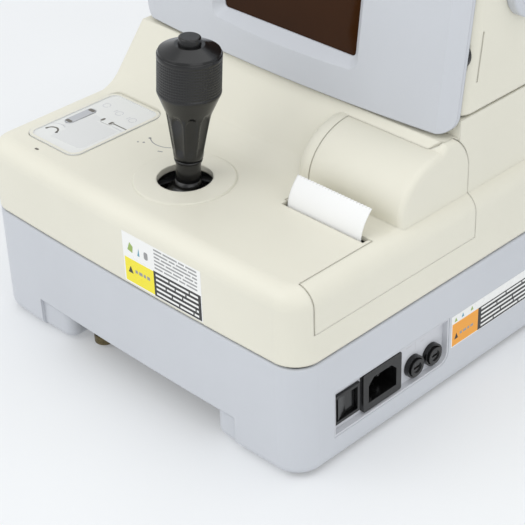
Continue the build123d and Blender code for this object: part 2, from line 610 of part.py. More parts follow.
with BuildPart() as control_panel:
    with BuildSketch(Plane.XY.offset(DECK - MEMBRANE_DEPTH)):
        with Locations(membrane_centre):
            RectangleRounded(*membrane_size, 7.6)
    extrude(amount=MEMBRANE_DEPTH + 0.6)
    with BuildSketch(Plane.XY.offset(DECK)):
        with Locations(membrane_centre):
            RectangleRounded(membrane_size[0] - 5, membrane_size[1] - 5, 5.5)
    extrude(amount=2, mode=Mode.SUBTRACT)
    for key_centre, key_size in KEYS.values():
        with BuildSketch(Plane.XY.offset(DECK - 0.6)):
            with Locations(key_centre):
                RectangleRounded(key_size[0] + 0.4, key_size[1] + 0.4, min(key_size) / 2)
        extrude(amount=2, mode=Mode.SUBTRACT)


def panel_key(centre, size):
    """Low oblong key standing 0.4 mm proud of the membrane."""
    with BuildPart() as key:
        with BuildSketch(Plane.XY.offset(DECK - 0.6 + KEY_TRAVEL + 0.02)):
            with Locations(centre):
                RectangleRounded(*size, min(size) / 2 - 0.05)
        extrude(amount=0.5)
    return key


print_key = panel_key(*KEYS["print_key"])
menu_key = panel_key(*KEYS["menu_key"])

# ---------------------------------------------------------------- stage: printer
roll_y, roll_z = ROLL_CENTRE
with BuildPart() as printer_frame:
    block((60, 128), (-141, -85), (100, 102))
    for wall_x in ((60, 62), (126, 128)):
        block(wall_x, (-139, -87), (102, 140))
        drum((wall_x[0] + 1, roll_y, roll_z), 3 + RUNNING, 4, "x", Mode.SUBTRACT)
    block((60, 128), (-87, -85), (100, 140))
    block((60, 128), (-168, -141), (100, 102))
    for cheek_x in ((60, 62.5), (125.5, 128)):
        block(cheek_x, (-168, -150), (102, 124))
        drum((cheek_x[0] + 1, PLATEN_CENTRE[0], PLATEN_CENTRE[1]), 2 + RUNNING, 6, "x", Mode.SUBTRACT)

with BuildPart() as paper_roll:
    drum((ROLL_MID_X, roll_y, roll_z), ROLL_RADIUS, ROLL_WIDTH, "x")
    drum((ROLL_MID_X, roll_y, roll_z), 6, ROLL_WIDTH + 4, "x", Mode.SUBTRACT)

with BuildPart() as roll_spindle:
    drum((ROLL_MID_X, roll_y, roll_z), 6, ROLL_WIDTH + 4, "x")
    drum((ROLL_MID_X, roll_y, roll_z), 3, 67.6, "x")

with BuildPart() as platen_roller:
    drum((ROLL_MID_X, PLATEN_CENTRE[0], PLATEN_CENTRE[1]), PLATEN_RADIUS, 61, "x")
    drum((ROLL_MID_X, PLATEN_CENTRE[0], PLATEN_CENTRE[1]), 2, 67.6, "x")

with BuildPart() as print_head:
    block((64, 124), (-171.5, -168.2), (102, 121))
    block((70, 118), (-175, -171.5), (104, 118))

PAPER = 0.2
with BuildPart() as paper_strip:
    with BuildSketch(Plane.YZ.offset(ROLL_MID_X - ROLL_WIDTH / 2)):
        with BuildLine() as paper_path:
            Line((roll_y, roll_z - ROLL_RADIUS - 0.3), (-157, 111.6))
            ThreePointArc((-157, 111.6), (-164.8, 112.3), (-167.5, 117))
            Line((-167.5, 117), (-167.5, 130))
            Line((-167.5, 130), (-166.3, 137))
            Line((-166.3, 137), (-158, 145.5))
        trace(line_width=PAPER)
    extrude(amount=ROLL_WIDTH)

# ---------------------------------------------------------------- head: monitor
lean = radians(TILT)
bezel_height = BEZEL_Z[1] - BEZEL_Z[0]
bezel_rear = SEAM_Y - (BODY_TOP - BEZEL_Z[0]) * tan(lean)


def front_y(z):
    """Y of the head shell's front face at a height; the monitor bezel lies on it."""
    return SEAM_Y + (z - BODY_TOP) * tan(lean)


with BuildPart() as monitor_bezel:
    with BuildSketch(Plane.XY.offset(BEZEL_Z[0])):
        with BuildLine():
            ThreePointArc((-122, BEZEL_FRONT + 6), (0, BEZEL_FRONT), (122, BEZEL_FRONT + 6))
            Polyline((122, BEZEL_FRONT + 6), (BODY_HALF, bezel_rear - 2.5), (BODY_HALF, bezel_rear),
                     (-BODY_HALF, bezel_rear), (-BODY_HALF, bezel_rear - 2.5), (-122, BEZEL_FRONT + 6))
        make_face()
    extrude(amount=bezel_height / cos(lean), dir=(0, sin(lean), cos(lean)))
    with BuildSketch(Plane.XZ.offset(60)):
        with Locations((0, (BEZEL_Z[0] + BEZEL_Z[1]) / 2)):
            RectangleRounded(BODY_WIDTH, bezel_height, 12)
    extrude(amount=90, mode=Mode.INTERSECT)
    with BuildSketch(screen_plane(SCREEN_DEPTH)):
        RectangleRounded(*SCREEN, 3)
    with BuildSketch(screen_plane(0)):
        RectangleRounded(SCREEN[0] + 2 * LIP, SCREEN[1] + 2 * LIP, 8)
    with BuildSketch(screen_plane(-1)):
        RectangleRounded(SCREEN[0] + 2 * LIP + 2, SCREEN[1] + 2 * LIP + 2, 9)
    loft(mode=Mode.SUBTRACT, ruled=True)
    with BuildSketch(screen_plane(SCREEN_DEPTH)):
        RectangleRounded(*SCREEN, 3)
    extrude(amount=-5, mode=Mode.SUBTRACT)
    with BuildSketch(screen_plane(SCREEN_DEPTH + 0.8)):
        RectangleRounded(SCREEN[0] + 6, SCREEN[1] + 6, 3)
    extrude(amount=-12, mode=Mode.SUBTRACT)

with BuildPart() as screen_glass:
    with BuildSketch(screen_plane(SCREEN_DEPTH + 2.4)):
        RectangleRounded(SCREEN[0] + 5.6, SCREEN[1] + 5.6, 3)
    extrude(amount=1.6)

# ---------------------------------------------------------------- head: shell and mechanism
def head_profile(inset):
    """Side view (Y, Z) of the head above the body seam."""
    low = BODY_TOP + HEAD_GAP
    shoulder = 318
    front_in = inset / cos(lean)
    with BuildSketch() as profile:
        with BuildLine():
            Polyline((front_y(low) + front_in, low), (front_y(shoulder) + front_in, shoulder),
                     (-45 + inset * 0.3, HEAD_TOP - inset), (60, HEAD_TOP - inset),
                     (HEAD_REAR - inset, 330 - inset * 0.5), (HEAD_REAR - inset, low),
                     (front_y(low) + front_in, low))
        make_face()
        fillet(profile.vertices().group_by(Axis.Y)[1:], 14)
    return profile.sketch


with BuildPart() as head_shell:
    with BuildSketch(Plane.YZ.offset(-BODY_HALF)):
        add(head_profile(0))
    extrude(amount=BODY_WIDTH)
    fillet(head_shell.faces().filter_by(Axis.X).edges().filter_by(
        lambda edge: edge.center().Z > 250 and edge.center().Y > -60), 10)
    with BuildSketch(Plane.YZ.offset(SHELL - BODY_HALF)):
        add(head_profile(SHELL))
    extrude(amount=BODY_WIDTH - 2 * SHELL, mode=Mode.SUBTRACT)
    block((-130, 130), (-87, HEAD_REAR - SHELL), (BODY_TOP, BODY_TOP + 6), Mode.SUBTRACT)
    drum((0, HEAD_REAR, OPTICAL_AXIS_Z), 42, 20, "y", Mode.SUBTRACT)
    drum((BODY_HALF, *KNOB_CENTRE), 5 + RUNNING, 20, "x", Mode.SUBTRACT)
    dimmer_x, dimmer_y, dimmer_z = DIMMER_CENTRE
    with BuildSketch(Plane.YZ.offset(BODY_HALF - 12)):
        with Locations(Location((dimmer_y, dimmer_z, 0), (0, 0, -TILT))):
            Rectangle(*DIMMER_SLOT)
    extrude(amount=20, mode=Mode.SUBTRACT)
    with Locations(Location(DIMMER_CENTRE, (90 - TILT, 0, 0))):
        Cylinder(DIMMER_RADIUS + 0.4, DIMMER_WIDTH + 0.8, mode=Mode.SUBTRACT)
    with BuildSketch(Plane.YZ.offset(BODY_HALF - 0.7)):
        with Locations(Location((SIDE_GROOVE[0], SIDE_GROOVE[1], 0), (0, 0, -TILT))):
            Rectangle(*SIDE_GROOVE[2:])
    extrude(amount=5, mode=Mode.SUBTRACT)

with BuildPart() as dimmer_wheel:
    with Locations(Location(DIMMER_CENTRE, (90 - TILT, 0, 0))):
        Cylinder(DIMMER_RADIUS, DIMMER_WIDTH)

with BuildPart() as head_chassis:
    block((-129, 129), (-84, 129), (183, 187))
    for side in SIDES:
        post(side * COLUMN_X, AXLE_Y, (150, 197), 10)
    for side in SIDES:
        post(side * COLUMN_X, AXLE_Y, (149, 198), 6 + RUNNING, Mode.SUBTRACT)
    post(0, AXLE_Y, (175, 203), 9)
    post(0, AXLE_Y, (170, 210), CORE_RADIUS + RUNNING, Mode.SUBTRACT)
    for arm_y in (-10, 90):
        block((-20, 20), (arm_y - 2, arm_y + 2), (187, 249))

with BuildPart() as head_skirt:
    block((-117, 117), (-57, 122), (150, 183))
    block((-115, 115), (-55, 120), (140, 190), Mode.SUBTRACT)

with BuildPart() as optics_barrel:
    drum((0, 50, OPTICAL_AXIS_Z), 36, 148, "y")
    drum((0, 123, OPTICAL_AXIS_Z), 28, 10, "y", Mode.SUBTRACT)

with BuildPart() as objective_lens:
    drum((0, 120, OPTICAL_AXIS_Z), 28, 4, "y")

with BuildPart() as window_ring:
    drum((0, HEAD_REAR + 1.8, OPTICAL_AXIS_Z), 48, 3.6, "y")
    drum((0, HEAD_REAR - 4, OPTICAL_AXIS_Z), 41.7, 8, "y")
    drum((0, HEAD_REAR, OPTICAL_AXIS_Z), 30, 30, "y", Mode.SUBTRACT)
    drum((0, HEAD_REAR - 4, OPTICAL_AXIS_Z), 38, 8.1, "y", Mode.SUBTRACT)

with BuildPart() as side_knob:
    drum((BODY_HALF + 3.5, *KNOB_CENTRE), KNOB_RADIUS, 6.2, "x")
    fillet(side_knob.faces().sort_by(Axis.X)[-1].edges(), 1.6)
    drum((127, *KNOB_CENTRE), 5, 14, "x")
    drum((BODY_HALF + 6.4, *KNOB_CENTRE), 14, 1.2, "x", Mode.SUBTRACT)

# ---------------------------------------------------------------- chinrest
with BuildPart() as chinrest_bracket:
    block((-124, 124), (196, 232), (BASE_TOP, 93))
    fillet(chinrest_bracket.edges().filter_by(Axis.Z), 8)
    fillet(chinrest_bracket.faces().sort_by(Axis.Z)[-1].edges(), 3)
    for side in SIDES:
        post(side * UPRIGHT_X, CHINREST_Y, (BASE_TOP, 95), 9, Mode.SUBTRACT)
    post(0, CHINREST_Y, (BASE_TOP, 95), 16, Mode.SUBTRACT)

with BuildPart() as chinrest_uprights:
    for side in SIDES:
        post(side * UPRIGHT_X, CHINREST_Y, (BASE_TOP, UPRIGHT_TOP - 30), 9)

with BuildPart() as forehead_frame:
    for side in SIDES:
        block(sorted((side * (UPRIGHT_X - 13), side * (UPRIGHT_X + 13))), (201, 227),
              (UPRIGHT_TOP - 60, UPRIGHT_TOP - 4))
    block((-UPRIGHT_X - 13, UPRIGHT_X + 13), (201, 227), (UPRIGHT_TOP - 24, UPRIGHT_TOP))
    fillet(forehead_frame.edges().filter_by(Axis.Y).group_by(Axis.Z)[-1], 14)
    fillet(forehead_frame.edges().filter_by(Axis.X), 4)
    for side in SIDES:
        post(side * UPRIGHT_X, CHINREST_Y, (300, UPRIGHT_TOP - 30), 9, Mode.SUBTRACT)

with BuildPart() as forehead_pad:
    with BuildSketch(Plane.XY.offset(UPRIGHT_TOP - 22)):
        with BuildLine():
            Polyline((-62, 227), (-62, 233), (-50, 236))
            ThreePointArc((-50, 236), (0, 230.5), (50, 236))
            Polyline((50, 236), (62, 233), (62, 227), (-62, 227))
        make_face()
    extrude(amount=18)

with BuildPart() as chin_column:
    post(0, CHINREST_Y, (BASE_TOP, 168), 16)
    post(0, CHINREST_Y, (BASE_TOP + 2, 170), 11 + RUNNING, Mode.SUBTRACT)

with BuildPart() as chin_lift_ring:
    post(0, CHINREST_Y, (168.4, 184), 20)
    post(0, CHINREST_Y, (168, 185), 11 + RUNNING, Mode.SUBTRACT)
    with Locations((0, CHINREST_Y, 176.2)):
        with PolarLocations(20, 18):
            Cylinder(1.4, 20, mode=Mode.SUBTRACT)

with BuildPart() as chin_post:
    post(0, CHINREST_Y, (BASE_TOP + 3, CHIN_REST_Z - 14), 11)

with BuildPart() as chin_cup:
    block((-38, 38), (192, 238), (CHIN_REST_Z - 14, CHIN_REST_Z + 6))
    fillet(chin_cup.edges().filter_by(Axis.Z), 14)
    with BuildSketch(Plane.XZ.offset(-260)):
        with Locations((0, CHIN_REST_Z + 44)):
            Circle(48)
    extrude(amount=80, mode=Mode.SUBTRACT)

pieces = {
    "base_shell": base_shell, "bottom_plate": bottom_plate,
    "rubber_feet": rubber_feet, "fixing_screw": fixing_screw, "base_chassis": base_chassis,
    "friction_plate": friction_plate, "racks": racks,
    "power_supply": power_supply, "power_panel": power_panel, "mains_inlet": mains_inlet,
    "inlet_pins": inlet_pins, "switch_frame": switch_frame, "switch_rocker": switch_rocker,
    "fuse_holders": fuse_holders, "fuse_cap_front": fuse_cap_front, "fuse_cap_rear": fuse_cap_rear,
    "carriage_ends": carriage_ends, "cross_rods": cross_rods, "roller_axle": roller_axle,
    "stage_cover": stage_cover, "printer_cover": printer_cover,
    "stage_frame": stage_frame, "lift_motor": lift_motor, "guide_columns": guide_columns,
    "lead_screw": lead_screw, "main_board": main_board, "joystick_housing": joystick_housing,
    "gimbal_ring": gimbal_ring, "joystick_stem": joystick_stem, "joystick_boot": joystick_boot,
    "joystick_grip": joystick_grip, "grip_cap": grip_cap, "measure_button": measure_button,
    "control_panel": control_panel, "print_key": print_key, "menu_key": menu_key,
    "printer_frame": printer_frame, "paper_roll": paper_roll, "roll_spindle": roll_spindle,
    "platen_roller": platen_roller, "print_head": print_head, "paper_strip": paper_strip,
    "monitor_bezel": monitor_bezel, "screen_glass": screen_glass,
    "head_shell": head_shell, "dimmer_wheel": dimmer_wheel, "head_chassis": head_chassis,
    "head_skirt": head_skirt, "optics_barrel": optics_barrel,
    "objective_lens": objective_lens, "window_ring": window_ring, "side_knob": side_knob,
    "chinrest_bracket": chinrest_bracket, "chinrest_uprights": chinrest_uprights,
    "forehead_frame": forehead_frame, "forehead_pad": forehead_pad, "chin_column": chin_column,
    "chin_lift_ring": chin_lift_ring, "chin_post": chin_post, "chin_cup": chin_cup,
}
for name, piece in pieces.items():
    piece.part.label = name
    export_step(piece.part, f"parts/{name}.step")
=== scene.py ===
"""Looks of the auto refractometer: materials, printed labels, knurled grip, paper slip, studio."""
import json
from math import cos, hypot, pi, radians, sin

import bmesh
import bpy
from mathutils import Matrix, Vector


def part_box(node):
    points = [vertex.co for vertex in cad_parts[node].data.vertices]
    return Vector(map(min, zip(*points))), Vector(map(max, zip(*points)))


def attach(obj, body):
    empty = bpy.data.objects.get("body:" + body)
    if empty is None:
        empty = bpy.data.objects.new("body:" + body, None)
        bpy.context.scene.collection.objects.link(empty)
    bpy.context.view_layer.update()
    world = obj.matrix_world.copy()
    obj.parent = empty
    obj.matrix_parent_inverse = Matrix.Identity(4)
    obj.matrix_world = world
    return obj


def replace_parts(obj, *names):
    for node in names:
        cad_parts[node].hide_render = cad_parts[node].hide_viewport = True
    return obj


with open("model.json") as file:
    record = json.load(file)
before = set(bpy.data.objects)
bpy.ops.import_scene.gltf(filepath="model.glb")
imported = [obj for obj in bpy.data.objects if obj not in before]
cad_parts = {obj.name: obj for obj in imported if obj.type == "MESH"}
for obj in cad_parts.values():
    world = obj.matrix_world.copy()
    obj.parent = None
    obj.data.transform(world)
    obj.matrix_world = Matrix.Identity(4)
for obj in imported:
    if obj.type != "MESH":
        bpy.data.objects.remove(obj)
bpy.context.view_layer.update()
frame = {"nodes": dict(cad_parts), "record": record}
MM = 0.001
RECORD = frame["record"]
JOINTS = {joint["name"]: joint for joint in RECORD["behaviour"]["joints"]}
SLOTS = {row["node"]: row["material_slot"] for row in RECORD["subparts"]}
DECK_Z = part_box("control_panel")[0][2] + 1.2 * MM    # deck surface; the panel starts 1.2 mm below it


# ---------------------------------------------------------------- material helpers
def new_material(name):
    """Empty node material and its principled shader."""
    material = bpy.data.materials.new(name)
    material.use_nodes = True
    return material, material.node_tree, material.node_tree.nodes["Principled BSDF"]


def noise(tree, scale, detail=3.0, stretch=(1, 1, 1)):
    """Noise in object coordinates; scale counts per metre."""
    place = tree.nodes.new("ShaderNodeTexCoord")
    mapping = tree.nodes.new("ShaderNodeMapping")
    mapping.inputs["Scale"].default_value = stretch
    texture = tree.nodes.new("ShaderNodeTexNoise")
    texture.inputs["Scale"].default_value = scale
    texture.inputs["Detail"].default_value = detail
    tree.links.new(place.outputs["Object"], mapping.inputs["Vector"])
    tree.links.new(mapping.outputs["Vector"], texture.inputs["Vector"])
    return texture.outputs["Fac"]


def ramp(tree, fac, low, high, start=0.3, end=0.7):
    """Two-colour ramp driven by a factor."""
    node = tree.nodes.new("ShaderNodeValToRGB")
    node.color_ramp.elements[0].position = start
    node.color_ramp.elements[1].position = end
    node.color_ramp.elements[0].color = (*low, 1)
    node.color_ramp.elements[1].color = (*high, 1)
    tree.links.new(fac, node.inputs["Fac"])
    return node.outputs["Color"]


def spread(tree, fac, low, high):
    """Maps a factor's middle range to numbers."""
    node = tree.nodes.new("ShaderNodeMapRange")
    node.inputs["From Min"].default_value = 0.25
    node.inputs["From Max"].default_value = 0.75
    node.inputs["To Min"].default_value = low
    node.inputs["To Max"].default_value = high
    tree.links.new(fac, node.inputs["Value"])
    return node.outputs["Result"]


def bump(tree, shader, height, strength, distance, soften=0.0):
    """Height to the shader's normal; soften rounds the shading of sharp edges by a radius."""
    node = tree.nodes.new("ShaderNodeBump")
    if soften:
        rounding = tree.nodes.new("ShaderNodeBevel")
        rounding.inputs["Radius"].default_value = soften
        tree.links.new(rounding.outputs["Normal"], node.inputs["Normal"])
    node.inputs["Strength"].default_value = strength
    node.inputs["Distance"].default_value = distance
    tree.links.new(height, node.inputs["Height"])
    tree.links.new(node.outputs["Normal"], shader.inputs["Normal"])


def shade(colour, factor):
    """Colour scaled towards black or white."""
    return tuple(min(1.0, channel * factor) for channel in colour)


def moulded(name, colour, rough=(0.38, 0.5), vary=0.03, grain=1400, relief=0.12, specular=0.5, soften=0.0):
    """Moulded plastic: fine spark grain, slow colour drift, uneven gloss."""
    material, tree, shader = new_material(name)
    drift = noise(tree, 9, 4)
    tree.links.new(ramp(tree, drift, shade(colour, 1 - vary), shade(colour, 1 + vary)),
                   shader.inputs["Base Color"])
    tree.links.new(spread(tree, noise(tree, 60, 5), *rough), shader.inputs["Roughness"])
    shader.inputs["Specular IOR Level"].default_value = specular
    bump(tree, shader, noise(tree, grain, 2), relief, 0.0001, soften)
    return material


def metal(name, colour, rough, stretch=(1, 1, 1), scale=900, relief=0.15, vary=0.08):
    """Machined or brushed metal; stretch gives its scratches a direction."""
    material, tree, shader = new_material(name)
    lines = noise(tree, scale, 4, stretch)
    tree.links.new(ramp(tree, lines, shade(colour, 1 - vary), shade(colour, 1 + vary)),
                   shader.inputs["Base Color"])
    tree.links.new(spread(tree, noise(tree, 120, 4), *rough), shader.inputs["Roughness"])
    shader.inputs["Metallic"].default_value = 1.0
    bump(tree, shader, lines, relief, 0.00005)
    return material


def glass(name, colour, rough, transmission, specular=0.6):
    """Tinted pane with a faint film of dust in its roughness."""
    material, tree, shader = new_material(name)
    drift = noise(tree, 14, 3)
    tree.links.new(ramp(tree, drift, shade(colour, 0.85), shade(colour, 1.15)), shader.inputs["Base Color"])
    tree.links.new(spread(tree, noise(tree, 200, 6), *rough), shader.inputs["Roughness"])
    shader.inputs["Transmission Weight"].default_value = transmission
    shader.inputs["Specular IOR Level"].default_value = specular
    return material


# ---------------------------------------------------------------- materials
CREAM = (0.745, 0.722, 0.615)
BLUE_GREY = (0.560, 0.578, 0.612)
materials = {
    "cream_plastic": moulded("cream_plastic", CREAM, soften=0.0015),
    "blue_grey_plastic": moulded("blue_grey_plastic", BLUE_GREY, rough=(0.36, 0.48), soften=0.001),
    "pale_panel": moulded("pale_panel", (0.62, 0.63, 0.66), rough=(0.4, 0.5)),
    "deck_panel": moulded("deck_panel", (0.760, 0.740, 0.640), rough=(0.35, 0.45), soften=0.0008),
    "deck_white": moulded("deck_white", (0.740, 0.745, 0.725), rough=(0.3, 0.4), vary=0.02, grain=3000),
    "key_grey": moulded("key_grey", (0.46, 0.47, 0.49), rough=(0.35, 0.45), vary=0.04, soften=0.0005),
    "print_dark": moulded("print_dark", (0.13, 0.12, 0.10), rough=(0.4, 0.5), vary=0.08, grain=3000),
    "panel_blank": moulded("panel_blank", (0.690, 0.695, 0.685), rough=(0.3, 0.4), vary=0.02, grain=3000),
    "print_faint": moulded("print_faint", (0.56, 0.56, 0.58), rough=(0.4, 0.5), vary=0.05, grain=3000),
    "mark_green": moulded("mark_green", (0.30, 0.42, 0.10), rough=(0.3, 0.4), vary=0.06, grain=3000),
    "mark_blue": moulded("mark_blue", (0.12, 0.32, 0.42), rough=(0.3, 0.4), vary=0.06, grain=3000),
    "black_plastic": moulded("black_plastic", (0.006, 0.006, 0.006), rough=(0.14, 0.27), vary=0.15,
                             relief=0.1, soften=0.0005),
    "rubber": moulded("rubber", (0.022, 0.022, 0.022), rough=(0.6, 0.8), vary=0.2, relief=0.3),
    "black_sheet": moulded("black_sheet", (0.012, 0.012, 0.013), rough=(0.55, 0.7), vary=0.2, relief=0.3),
    "steel": metal("steel", (0.74, 0.74, 0.75), (0.2, 0.36), scale=500, relief=0.03),
    "aluminium": metal("aluminium", (0.72, 0.73, 0.74), (0.3, 0.45), stretch=(6, 1, 1)),
    "brass": metal("brass", (0.16, 0.13, 0.07), (0.3, 0.5), vary=0.3),
    "circuit_board": moulded("circuit_board", (0.015, 0.13, 0.05), rough=(0.25, 0.4), vary=0.2, grain=500),
    "screen_glass": glass("screen_glass", (0.036, 0.013, 0.004), (0.05, 0.12), 0.0, specular=0.08),
    "lens_glass": glass("lens_glass", (0.55, 0.62, 0.72), (0.0, 0.03), 0.9),
    "paper": moulded("paper", (0.86, 0.86, 0.85), rough=(0.6, 0.75), vary=0.02, grain=2500, relief=0.2),
    "pad": moulded("pad", (0.72, 0.72, 0.70), rough=(0.45, 0.6), vary=0.03, grain=900),
    "label_white": moulded("label_white", (0.85, 0.85, 0.83), rough=(0.25, 0.35), vary=0.02, grain=3000),
    "label_yellow": moulded("label_yellow", (0.88, 0.76, 0.02), rough=(0.25, 0.35), vary=0.03, grain=3000),
    "label_orange": moulded("label_orange", (0.86, 0.36, 0.03), rough=(0.25, 0.35), vary=0.03, grain=3000),
    "label_black": moulded("label_black", (0.015, 0.015, 0.015), rough=(0.25, 0.35), vary=0.1, grain=3000),
    "print_grey": moulded("print_grey", (0.30, 0.30, 0.30), rough=(0.4, 0.5), vary=0.05, grain=3000),
}
OVERRIDES = {"control_panel": "deck_white", "print_key": "key_grey", "menu_key": "deck_white"}
for node_name, node_object in frame["nodes"].items():
    for material_slot in node_object.material_slots:
        material_slot.material = materials[OVERRIDES.get(node_name, SLOTS[node_name])]


# ---------------------------------------------------------------- mesh helpers
def finish_piece(name, mesh, material, body, smooth=True):
    """Mesh to a named piece that rides on a body and takes a record slot."""
    mesh.validate()
    for polygon in mesh.polygons:
        polygon.use_smooth = smooth
    piece = bpy.data.objects.new(name, mesh)
    bpy.context.scene.collection.objects.link(piece)
    mesh.materials.append(materials[material])
    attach(piece, body)
    return piece


def mesh_from(name, verts, faces):
    """Mesh from vertices and faces."""
    mesh = bpy.data.meshes.new(name)
    mesh.from_pydata(verts, [], faces)
    return mesh


def facing_out(mesh):
    """Turns every face of a closed mesh outwards."""
    shell = bmesh.new()
    shell.from_mesh(mesh)
    bmesh.ops.recalc_face_normals(shell, faces=shell.faces)
    shell.to_mesh(mesh)
    shell.free()
    return mesh


def grid_faces(rows, columns, wrap=False):
    """Quads of a row-major grid."""
    faces = []
    last = columns if wrap else columns - 1
    for row in range(rows - 1):
        for column in range(last):
            right = (column + 1) % columns
            faces.append((row * columns + column, row * columns + right,
                          (row + 1) * columns + right, (row + 1) * columns + column))
    return faces


def lathe(name, profile, origin, axis, material, body, columns=96, radius_of=None):
    """Closed turned piece: profile is (radius, height) pairs; radius_of may ripple the radius.

    Its record slot has the material's name.
    """
    side = axis.orthogonal().normalized()
    other = axis.cross(side)
    verts = []
    for radius, height in profile:
        for column in range(columns):
            angle = 2 * pi * column / columns
            local = radius_of(radius, height, angle) if radius_of else radius
            verts.append(origin + axis * height + (side * cos(angle) + other * sin(angle)) * local)
    faces = grid_faces(len(profile), columns, wrap=True)
    faces.append(tuple(reversed(range(columns))))
    top = (len(profile) - 1) * columns
    faces.append(tuple(range(top, top + columns)))
    return finish_piece(name, mesh_from(name, verts, faces), material, body)


# ---------------------------------------------------------------- joystick grip with flutes and knurling
pivot = Vector(JOINTS["grip_twist"]["pos_m"])
stick = Vector(JOINTS["grip_twist"]["axis"]).normalized()
deck_height = DECK_Z - pivot.z
grip_start = deck_height + 15.5 * MM
taper_start = grip_start + 3 * MM
flute_end = deck_height + 46 * MM
knurl_start = deck_height + 60.5 * MM
knurl_end = deck_height + 81.5 * MM
grip_end = deck_height + 84 * MM
FLUTES = 9
FLUTE_DEPTH = 1.3 * MM
FLUTE_HALF = 0.44    # half a flute's width, as a share of the pitch
ARCH_RISE = 6.5 * MM
ARCH_FADE = 2.2 * MM
FOOT_FADE = 5 * MM
KNURL_COLUMNS = 72
KNURL_PITCH = 1.75 * MM
KNURL_DEPTH = 0.42 * MM
FOOT_RADIUS = 9.3 * MM
WAIST_RADIUS = 13.8 * MM
CONE_RADIUS = 19.2 * MM
DRUM_RADIUS = 19.3 * MM
STEM_RADIUS = 7.72 * MM


def grip_radius(radius, height, angle):
    """Broad round-topped flutes on the taper, square knurling on the drum."""
    if height < flute_end + 5 * MM:
        offset = (angle * FLUTES / (2 * pi) + 0.5) % 1.0 - 0.5
        across = min(1.0, abs(offset) / FLUTE_HALF)
        arch = flute_end + 1.5 * MM - ARCH_RISE * (1 - (1 - across ** 2) ** 0.5)
        top = min(1.0, max(0.0, (arch - height) / ARCH_FADE))
        bottom = min(1.0, max(0.0, (height - taper_start) / FOOT_FADE))
        return radius - FLUTE_DEPTH * (1 - across ** 2) ** 0.6 * top * bottom
    if knurl_start < height < knurl_end:
        across = abs(((angle * KNURL_COLUMNS / (2 * pi)) % 1.0) * 2 - 1)
        along = abs((((height - knurl_start) / KNURL_PITCH) % 1.0) * 2 - 1)
        return radius - KNURL_DEPTH * min(1.0, 1.5 * (1 - min(across, along)) ** 2)
    return radius


def steps(low, high, count):
    """Evenly spaced values, both ends included."""
    return [low + (high - low) * index / (count - 1) for index in range(count)]


grip_profile = [(8.6 * MM, grip_start), (9.0 * MM, grip_start + 0.5 * MM), (FOOT_RADIUS, taper_start)]
grip_profile += [(FOOT_RADIUS + (WAIST_RADIUS - FOOT_RADIUS) * t, taper_start + (flute_end - taper_start) * t)
                 for t in steps(0.03, 1.0, 46)]
grip_profile += [(WAIST_RADIUS + (CONE_RADIUS - WAIST_RADIUS) * t, flute_end + 13 * MM * t)
                 for t in steps(0.15, 1.0, 8)]
grip_profile += [(DRUM_RADIUS, flute_end + 13.4 * MM)]
grip_profile += [(DRUM_RADIUS, height) for height in steps(knurl_start, knurl_end, 73)]
grip_profile += [(DRUM_RADIUS, knurl_end + 0.2 * MM), (DRUM_RADIUS, grip_end - 0.4 * MM),
                 (19.0 * MM, grip_end)]
knurled_grip = lathe("knurled_grip", grip_profile, pivot, stick, "black_plastic", "grip",
                     columns=KNURL_COLUMNS * 4, radius_of=grip_radius)
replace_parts(knurled_grip, "joystick_grip")

ring_profile = ((7.8, -7.4), (12.5, -7.2), (12.9, -6.6), (12.5, -6.0), (9.2, -4.4), (8.4, -2.6), (8.4, -1.2),
                (7.9, -0.8))
lathe("stem_rings", [(radius * MM, deck_height + height * MM) for radius, height in ring_profile]
      + [(STEM_RADIUS, deck_height + 0.6 * MM)], pivot, stick, "black_plastic", "stick")
collar_profile = ((8.5, -2.2), (8.8, -0.7), (7.8, -0.45))
lathe("stem_collar", [(STEM_RADIUS, grip_start - 2.6 * MM)]
      + [(radius * MM, grip_start + height * MM) for radius, height in collar_profile],
      pivot, stick, "black_plastic", "stick")

# ---------------------------------------------------------------- walls, films and the painted shade ring in the base seam
base_low, base_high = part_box("base_shell")
HALF = base_high[0]
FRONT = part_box("stage_cover")[0][1]
BOW = 2.4 * MM    # how far the front wall's ends lie behind its middle


def front_point(x, z, lift):
    """Point on the bowed front wall of the stage cover."""
    return Vector((x, FRONT + BOW * (x / HALF) ** 2 - lift, z))


def side_point(y, z, lift):
    """Point on the flat right wall."""
    return Vector((HALF + lift, y, z))


def film(name, place, across, up, thickness, lift, material, body, cells=12):
    """Thin printed film laid on a wall; place(a, b, lift) gives points of the wall."""
    verts = []
    for level in (lift, lift + thickness):
        for row in range(2):
            for column in range(cells + 1):
                a = across[0] + (across[1] - across[0]) * column / cells
                verts.append(place(a, up[row], level))
    count = cells + 1
    lower = grid_faces(2, count)
    upper = [tuple(index + 2 * count for index in face) for face in lower]
    faces = [tuple(reversed(face)) for face in lower] + upper
    ring = list(range(count)) + list(range(2 * count - 1, count - 1, -1))
    for index in range(len(ring)):
        first, second = ring[index], ring[(index + 1) % len(ring)]
        faces.append((first, second, second + 2 * count, first + 2 * count))
    mesh = facing_out(mesh_from(name, verts, faces))
    return finish_piece(name, mesh, material, body, smooth=False)


BAR_FILM = 0.02 * MM
BAR_GAP = 1.1 * MM


def bars(prefix, place, across, up, rows, material, body, pattern, lift):
    """Rows of short bars that stand for small print."""
    pitch = (up[1] - up[0]) / rows
    for row in range(rows):
        a = across[0]
        index = row
        low = up[1] - (row + 0.75) * pitch
        while a < across[1] - 1.5 * MM:
            width = pattern[index % len(pattern)] * MM
            end = min(a + width, across[1])
            film(f"{prefix}_{row}_{index}", place, (a, end), (low, low + pitch * 0.45), BAR_FILM, lift,
                 material, body, cells=2)
            a = end + BAR_GAP
            index += 1


# A black rubber ring on the base's top, inside the gap under the stage cover: painted shade that darkens the
# seam between cover and base.
SHADE_RING_CORNER = 14 * MM
SHADE_RING_STEPS = 8
SHADE_RING_POINTS = 4 * (SHADE_RING_STEPS + 1)


